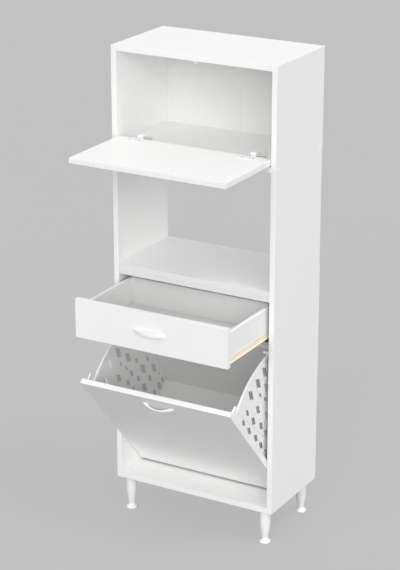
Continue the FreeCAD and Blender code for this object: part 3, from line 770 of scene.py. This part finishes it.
def smoothOutline(knots, stepsBetween):
    points = []
    for index in range(len(knots) - 1):
        before = knots[max(index - 1, 0)]
        start, end = knots[index], knots[index + 1]
        after = knots[min(index + 2, len(knots) - 1)]
        for step in range(stepsBetween):
            share = step / stepsBetween
            points.append([smoothValue(*values, share) for values in zip(before, start, end, after)])
    points.append(knots[-1])
    return points


def joinRings(bm, rings):
    # a closed skin over rings of points
    for first, second in zip(rings, rings[1:]):
        for index in range(len(first)):
            bm.faces.new((first[index - 1], first[index], second[index], second[index - 1]))
    bm.faces.new(list(reversed(rings[0])))
    bm.faces.new(rings[-1])


def spun(bm, outline, sides, turn):
    # rings round the local Z axis
    rings = []
    for height, radius in outline:
        ring = []
        for index in range(sides):
            angle = 2 * math.pi * index / sides
            spot = Vector((radius * math.cos(angle), radius * math.sin(angle), height))
            ring.append(bm.verts.new(turn @ spot))
        rings.append(ring)
    joinRings(bm, rings)


legPoints = smoothOutline(legLook["outline"], legLook["stepsBetween"])
legOutline = [(height * mm, radius * mm) for height, radius in legPoints]
for node in ("leg_front_left", "leg_front_right", "leg_rear_left", "leg_rear_right"):
    low, high = closedBox(node)
    bm = bmesh.new()
    foot = Vector(((low.x + high.x) / 2, (low.y + high.y) / 2, low.z))
    spun(bm, legOutline, legLook["sides"], Matrix.Translation(foot))
    addPiece(camel(node), outwardMesh(bm, camel(node)), [node])
print("legs turned")


# bow handles: a tall strap with rounded edges that thickens towards its feet
handleLook = {
    "gripLength": 80 * mm,
    "gripDepth": 14.5 * mm,
    "endHeightShare": 0.82,
    "squareness": 4.5,
    "rings": 44,
    "sides": 28,
}


def bowArc(length, depth):
    # places on a flat arc, from -1 at one end to 1 at the other
    radius = (length * length / 4 + depth * depth) / (2 * depth)
    half = math.asin(length / 2 / radius)
    return lambda t: Vector((radius * math.sin(half * t), radius - depth - radius * math.cos(half * t)))


def ovalSide(value, power):
    return math.copysign(abs(value) ** (2 / power), value)


def bowMesh(node):
    low, high = closedBox(node)
    outer = bowArc(high.x - low.x, high.y - low.y)
    inner = bowArc(handleLook["gripLength"], handleLook["gripDepth"])
    middle = Vector(((low.x + high.x) / 2, high.y, (low.z + high.z) / 2))
    halfHeight = (high.z - low.z) / 2
    share = handleLook["endHeightShare"]
    bm = bmesh.new()
    rings = []
    for step in range(handleLook["rings"] + 1):
        t = 2 * step / handleLook["rings"] - 1
        centre = (outer(t) + inner(t)) / 2
        reach = (outer(t) - inner(t)) / 2
        rise = halfHeight * (share + (1 - share) * math.cos(t * math.pi / 2))
        ring = []
        for side in range(handleLook["sides"]):
            angle = 2 * math.pi * side / handleLook["sides"]
            across = ovalSide(math.cos(angle), handleLook["squareness"])
            up = ovalSide(math.sin(angle), handleLook["squareness"])
            flat = centre + reach * across
            spot = middle + Vector((flat.x, flat.y, rise * up))
            ring.append(bm.verts.new(openingOf(node) @ spot))
        rings.append(ring)
    joinRings(bm, rings)
    return outwardMesh(bm, camel(node))


for node in ("flap_handle", "drawer_handle", "bin_handle"):
    addPiece(camel(node), bowMesh(node), [node])
print("bow handles shaped")


# round pins and rollers
pinLook = {"sides": 36, "round": 1.2 * mm, "steps": 4}
rollerLook = {"sides": 48, "round": 0.8 * mm, "steps": 3}
turnedNodes = {
    "bin_pivot_pins": pinLook,
    "bin_stop_pins": pinLook,
    "front_rollers": rollerLook,
    "rear_rollers": rollerLook,
}
zToX = Matrix.Rotation(math.pi / 2, 4, "Y")  # lays what is turned round Z along X


def solidsOf(node):
    # points of each loose solid of a CAD node, in the closed place
    bm = weldedCopy(node)
    back = openingOf(node).inverted()
    unseen = set(bm.verts)
    solids = []
    while unseen:
        queue = [unseen.pop()]
        points = []
        while queue:
            vert = queue.pop()
            points.append(back @ vert.co)
            for edge in vert.link_edges:
                other = edge.other_vert(vert)
                if other in unseen:
                    unseen.discard(other)
                    queue.append(other)
        solids.append(points)
    bm.free()
    # sorted by place, to a tenth of a millimetre
    return sorted(solids, key=lambda points: tuple(round(value, 4) for value in limits(points)[0]))


def roundedEnds(length, radius, look):
    # heights and radii of a pin with both ends rounded
    outline = []
    for step in range(look["steps"] + 1):
        angle = math.pi / 2 * step / look["steps"]
        inset = look["round"] * (1 - math.cos(angle))
        outline.append((look["round"] * (1 - math.sin(angle)), radius - inset))
    outline.reverse()
    far = [(length - height, ring) for height, ring in reversed(outline)]
    return outline + far


def alongX(points):
    # a frame at the low X end of a solid with its local Z along X, and the solid's length and radius
    low, high = limits(points)
    start = Vector((low.x, (low.y + high.y) / 2, (low.z + high.z) / 2))
    length = high.x - low.x
    radius = (high.z - low.z) / 2
    return Matrix.Translation(start) @ zToX, length, radius


for node, look in turnedNodes.items():
    bm = bmesh.new()
    for points in solidsOf(node):
        turn, length, radius = alongX(points)
        spun(bm, roundedEnds(length, radius, look), look["sides"], openingOf(node) @ turn)
    addPiece(camel(node), outwardMesh(bm, camel(node)), [node])
print("pins and rollers turned")


# hinge barrels: a moulded pin with rounded collars beside each hinge block
barrelLook = {
    "length": 31 * mm,
    "sink": 1 * mm,
    "core": 2.6 * mm,
    "collar": 5.2 * mm,
    "collars": 3,
    "fullness": 0.6,  # smaller is fuller
    "steps": 10,
    "sides": 32,
    "blockHalf": 9.5 * mm,
    "behind": 13 * mm,
    "rise": 22.5 * mm,
    "slot": "grey_nylon",
}


def barrelOutline():
    steps = barrelLook["collars"] * barrelLook["steps"]
    outline = [(-barrelLook["sink"], barrelLook["core"])]
    for step in range(steps + 1):
        swell = abs(math.sin(math.pi * step / barrelLook["steps"])) ** barrelLook["fullness"]
        radius = barrelLook["core"] + (barrelLook["collar"] - barrelLook["core"]) * swell
        outline.append((barrelLook["length"] * step / steps, radius))
    return outline


bm = bmesh.new()
for node in ("flap_hinge_block_left", "flap_hinge_block_right"):
    low, high = closedBox(node)
    start = Vector((
        (low.x + high.x) / 2 + barrelLook["blockHalf"],
        high.y - barrelLook["behind"],
        low.z + barrelLook["rise"],
    ))
    spun(bm, barrelOutline(), barrelLook["sides"], Matrix.Translation(start) @ zToX)
barrelMesh = outwardMesh(bm, "hingeBarrels")
barrelMesh.materials.append(mouldedPlastic("barrelNylon", barrelNylonLook))
barrels = bpy.data.objects.new("hingeBarrels", barrelMesh)
scene.collection.objects.link(barrels)
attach(barrels, bodyOf["flap_hinge_block_left"])
print("hinge barrels turned")


# screws, nails, cams and caps: one tree sets a head on every marked point, sizes in mm
screwLook = {
    "Head Radius": 3.4, "Head Height": 1.3,
    "Recess Width": 0.8, "Recess Length": 3.6, "Recess Depth": 1.2,
    "Shank Radius": 1.7, "Shank Length": 10,
}
handleScrewLook = {
    "Head Radius": 4.0, "Head Height": 1.8,
    "Recess Width": 1.0, "Recess Length": 4.2, "Recess Depth": 1.6,
    "Shank Radius": 2.0, "Shank Length": 20,
}
nailLook = {
    "Head Radius": 3.0, "Head Height": 0.8,
    "Recess Width": 0.2, "Recess Length": 0.2, "Recess Depth": 0.0,
    "Shank Radius": 0.9, "Shank Length": 14,
}
camLook = {
    "Head Radius": 7.5, "Head Height": 0.5,
    "Recess Width": 1.4, "Recess Length": 8.0, "Recess Depth": 0.8,
    "Shank Radius": 7.3, "Shank Length": 12,
}
capLook = {
    "Head Radius": 6.0, "Head Height": 2.6,
    "Recess Width": 0.2, "Recess Length": 0.2, "Recess Depth": 0.0,
    "Shank Radius": 3.0, "Shank Length": 4,
}
headLook = {"segments": 24, "rings": 12, "shankSides": 16, "mergeGap": 0.01 * mm}


def addSocket(tree, name, kind, default=None):
    socket = tree.interface.new_socket(name=name, in_out="INPUT", socket_type=kind)
    if default is not None:
        socket.default_value = default


def headTree():
    tree = bpy.data.node_groups.new("headedFasteners", "GeometryNodeTree")
    tree.interface.new_socket(name="Geometry", in_out="OUTPUT", socket_type="NodeSocketGeometry")
    addSocket(tree, "Geometry", "NodeSocketGeometry")
    for name, size in screwLook.items():
        addSocket(tree, name, "NodeSocketFloat", size * mm)
    addSocket(tree, "Finish", "NodeSocketMaterial")
    new = tree.nodes.new
    link = tree.links.new
    source = new("NodeGroupInput").outputs
    sphere = new("GeometryNodeMeshUVSphere")
    sphere.inputs["Segments"].default_value = headLook["segments"]
    sphere.inputs["Rings"].default_value = headLook["rings"]
    sphere.inputs["Radius"].default_value = 1.0
    size = new("ShaderNodeCombineXYZ")
    link(source["Head Radius"], size.inputs["X"])
    link(source["Head Radius"], size.inputs["Y"])
    link(source["Head Height"], size.inputs["Z"])
    dome = new("GeometryNodeTransform")
    link(sphere.outputs["Mesh"], dome.inputs["Geometry"])
    link(size.outputs["Vector"], dome.inputs["Scale"])
    shank = new("GeometryNodeMeshCylinder")
    shank.inputs["Vertices"].default_value = headLook["shankSides"]
    link(source["Shank Radius"], shank.inputs["Radius"])
    link(source["Shank Length"], shank.inputs["Depth"])
    down = new("ShaderNodeCombineXYZ")
    link(addMath(tree, "MULTIPLY", source["Shank Length"], -0.5), down.inputs["Z"])  # half its length
    lowered = new("GeometryNodeTransform")
    link(shank.outputs["Mesh"], lowered.inputs["Geometry"])
    link(down.outputs["Vector"], lowered.inputs["Translation"])
    whole = new("GeometryNodeMeshBoolean")
    whole.operation = "UNION"
    whole.solver = "MANIFOLD"
    link(dome.outputs["Geometry"], whole.inputs["Mesh 2"])
    link(lowered.outputs["Geometry"], whole.inputs["Mesh 2"])
    recess = new("GeometryNodeMeshBoolean")
    recess.operation = "DIFFERENCE"
    recess.solver = "MANIFOLD"
    link(whole.outputs["Mesh"], recess.inputs["Mesh 1"])
    for first, second in (("Recess Width", "Recess Length"), ("Recess Length", "Recess Width")):
        bar = new("ShaderNodeCombineXYZ")
        link(source[first], bar.inputs["X"])
        link(source[second], bar.inputs["Y"])
        link(source["Recess Depth"], bar.inputs["Z"])
        slot = new("GeometryNodeMeshCube")
        link(bar.outputs["Vector"], slot.inputs["Size"])
        lift = new("ShaderNodeCombineXYZ")
        link(source["Head Height"], lift.inputs["Z"])
        raised = new("GeometryNodeTransform")
        link(slot.outputs["Mesh"], raised.inputs["Geometry"])
        link(lift.outputs["Vector"], raised.inputs["Translation"])
        link(raised.outputs["Geometry"], recess.inputs["Mesh 2"])
    driven = new("FunctionNodeCompare")  # nails and caps have no recess
    driven.operation = "GREATER_THAN"
    link(source["Recess Depth"], driven.inputs["A"])
    head = new("GeometryNodeSwitch")
    head.input_type = "GEOMETRY"
    link(driven.outputs["Result"], head.inputs["Switch"])
    link(whole.outputs["Mesh"], head.inputs["False"])
    link(recess.outputs["Mesh"], head.inputs["True"])
    clean = new("GeometryNodeMergeByDistance")
    clean.inputs["Distance"].default_value = headLook["mergeGap"]
    link(head.outputs["Output"], clean.inputs["Geometry"])
    facing = new("GeometryNodeInputNamedAttribute")
    facing.data_type = "FLOAT_VECTOR"
    facing.inputs["Name"].default_value = "facing"
    aim = new("FunctionNodeAlignRotationToVector")
    aim.axis = "Z"
    link(facing.outputs["Attribute"], aim.inputs["Vector"])
    spread = new("GeometryNodeInstanceOnPoints")
    link(source["Geometry"], spread.inputs["Points"])
    link(clean.outputs["Geometry"], spread.inputs["Instance"])
    link(aim.outputs["Rotation"], spread.inputs["Rotation"])
    real = new("GeometryNodeRealizeInstances")
    link(spread.outputs["Instances"], real.inputs["Geometry"])
    finish = new("GeometryNodeSetMaterial")
    link(real.outputs["Geometry"], finish.inputs["Geometry"])
    link(source["Finish"], finish.inputs["Material"])
    link(finish.outputs["Geometry"], new("NodeGroupOutput").inputs["Geometry"])
    return tree


fastenerGroups = {  # node: look and the way its heads face in the closed place, none for outwards
    "hinge_block_screws": (screwLook, Vector((0, 0, 1))),
    "flap_hinge_screws": (screwLook, Vector((0, 1, 0))),
    "flap_handle_screws": (handleScrewLook, Vector((0, 1, 0))),
    "drawer_handle_screws": (handleScrewLook, Vector((0, 1, 0))),
    "bin_handle_screws": (handleScrewLook, Vector((0, 1, 0))),
    "back_nails": (nailLook, Vector((0, 1, 0))),
    "cam_locks": (camLook, Vector((0, 0, -1))),
    "runner_screws": (screwLook, None),  # heads hidden in the sides
    "screw_caps": (capLook, None),
}
fastenerHeads = headTree()


def setFasteners(node, look, facing):
    places, aims = [], []
    for points in solidsOf(node):
        low, high = limits(points)
        middle = (low + high) / 2
        aim = facing or Vector((math.copysign(1, middle.x), 0, 0))
        top = max(point.dot(aim) for point in points)
        seat = middle + aim * (top - look["Head Height"] * mm - middle.dot(aim))
        places.append(openingOf(node) @ seat)
        aims.append(openingOf(node).to_3x3() @ aim)
    mesh = bpy.data.meshes.new(camel(node) + "Places")
    mesh.from_pydata(places, [], [])
    marks = mesh.attributes.new("facing", "FLOAT_VECTOR", "POINT")
    for mark, aim in zip(marks.data, aims):
        mark.vector = aim
    holder = bpy.data.objects.new(camel(node) + "Places", mesh)
    scene.collection.objects.link(holder)
    setter = holder.modifiers.new("heads", "NODES")
    setter.node_group = fastenerHeads
    for socket in fastenerHeads.interface.items_tree:
        if socket.in_out == "INPUT" and socket.name in look:
            setter[socket.identifier] = look[socket.name] * mm
        elif socket.in_out == "INPUT" and socket.name == "Finish":
            setter[socket.identifier] = finishOf(node)
    result = bakedMesh(holder, camel(node))
    holder.modifiers.remove(setter)
    bpy.data.objects.remove(holder)
    bm = bmesh.new()
    bm.from_mesh(result)
    addPiece(camel(node), meshFrom(bm, camel(node)), [node])


for node, (look, facing) in fastenerGroups.items():
    setFasteners(node, look, facing)
print("fasteners set:", len(fastenerGroups), "groups")


# floor, light and camera
def seenRays(tree):
    # 1 for what the camera sees directly, in gloss or through glass
    rays = tree.nodes.new("ShaderNodeLightPath").outputs
    seen = rays["Is Camera Ray"]
    for name in ("Is Glossy Ray", "Is Transmission Ray"):
        seen = addMath(tree, "MAXIMUM", seen, rays[name])
    return seen


floorLook = {
    "half": 60.0,
    "squares": 8,
    "drop": 0.2 * mm,
    "pale": (0.250, 0.250, 0.250),
    "deep": (0.245, 0.245, 0.245),
    "cloudScale": 0.35,
    "cloudDetail": 2.0,
    "cloudStops": (0.4, 0.6),
    "roughness": 0.9,
    "shine": 0.1,
    "seen": (0.712, 0.712, 0.712),  # an even tone, mixed in where the camera looks
    "evenShare": 0.6,
}
bm = bmesh.new()
squares = floorLook["squares"]
bmesh.ops.create_grid(bm, x_segments=squares, y_segments=squares, size=floorLook["half"])
bmesh.ops.translate(bm, verts=bm.verts, vec=(0, 0, -floorLook["drop"]))
floorMesh = bpy.data.meshes.new("paleFloor")
bm.to_mesh(floorMesh)
bm.free()
floorFinish, tree, shader, place = startFinish("paleFloorPaint")
clouds = addNoise(tree, place, floorLook["cloudScale"], floorLook["cloudDetail"])
colour = addRamp(tree, clouds, floorLook["cloudStops"], floorLook["deep"], floorLook["pale"])
tree.links.new(colour, shader.inputs["Base Color"])
shader.inputs["Roughness"].default_value = floorLook["roughness"]
shader.inputs["Specular IOR Level"].default_value = floorLook["shine"]
glow = tree.nodes.new("ShaderNodeEmission")
glow.inputs["Color"].default_value = (*floorLook["seen"], 1.0)
even = tree.nodes.new("ShaderNodeMixShader")
share = addMath(tree, "MULTIPLY", seenRays(tree), floorLook["evenShare"])
tree.links.new(share, even.inputs["Fac"])
tree.links.new(shader.outputs["BSDF"], even.inputs[1])
tree.links.new(glow.outputs["Emission"], even.inputs[2])
tree.links.new(even.outputs["Shader"], tree.nodes["Material Output"].inputs["Surface"])
floorMesh.materials.append(floorFinish)
floor = bpy.data.objects.new("paleFloor", floorMesh)
scene.collection.objects.link(floor)

worldLook = {"light": 0.68, "tint": (1.0, 1.0, 1.0), "seen": (0.530, 0.530, 0.530)}
world = bpy.data.worlds.new("studio")
scene.world = world
world.use_nodes = True
tree = world.node_tree
tree.nodes.clear()
soft = tree.nodes.new("ShaderNodeBackground")
soft.inputs["Color"].default_value = (*worldLook["tint"], 1.0)
soft.inputs["Strength"].default_value = worldLook["light"]
backdrop = tree.nodes.new("ShaderNodeBackground")
backdrop.inputs["Color"].default_value = (*worldLook["seen"], 1.0)
choice = tree.nodes.new("ShaderNodeMixShader")
tree.links.new(seenRays(tree), choice.inputs["Fac"])
tree.links.new(soft.outputs["Background"], choice.inputs[1])
tree.links.new(backdrop.outputs["Background"], choice.inputs[2])
tree.links.new(choice.outputs["Shader"], tree.nodes.new("ShaderNodeOutputWorld").inputs["Surface"])

lampLook = {  # degrees round from the front and up, strength, softness
    "frontLamp": {"round": 10, "up": 32, "strength": 0.83, "spread": 40},
    "sideLamp": {"round": 45, "up": 12, "strength": 1.20, "spread": 40},
    "topLamp": {"round": 80, "up": 62, "strength": 0.75, "spread": 16},
}
for name, look in lampLook.items():
    lamp = bpy.data.lights.new(name, "SUN")
    lamp.energy = look["strength"]
    lamp.angle = math.radians(look["spread"])
    holder = bpy.data.objects.new(name, lamp)
    turn, rise = math.radians(look["round"]), math.radians(look["up"])
    towards = Vector((math.sin(turn) * math.cos(rise), -math.cos(turn) * math.cos(rise), math.sin(rise)))
    holder.rotation_euler = towards.to_track_quat("Z", "Y").to_euler()
    scene.collection.objects.link(holder)

cameraLook = {  # places in metres from the carcass's middle on the floor
    "place": (2.9189, -5.2057, 2.9976),
    "aim": (0.0, -0.1112, 0.8640),
    "lens": 120.62,
    "sensor": 36.0,
}
low, high = closedBox("right_side")
carcassMiddle = Vector((0, (low.y + high.y) / 2, 0))
lens = bpy.data.cameras.new("frontRight")
lens.lens = cameraLook["lens"]
lens.sensor_width = cameraLook["sensor"]
camera = bpy.data.objects.new("frontRight", lens)
camera.location = carcassMiddle + Vector(cameraLook["place"])
sight = Vector(cameraLook["aim"]) - Vector(cameraLook["place"])
camera.rotation_euler = sight.to_track_quat("-Z", "Y").to_euler()
scene.collection.objects.link(camera)
scene.camera = camera
scene.view_settings.view_transform = "Standard"
print("floor, light and camera set")
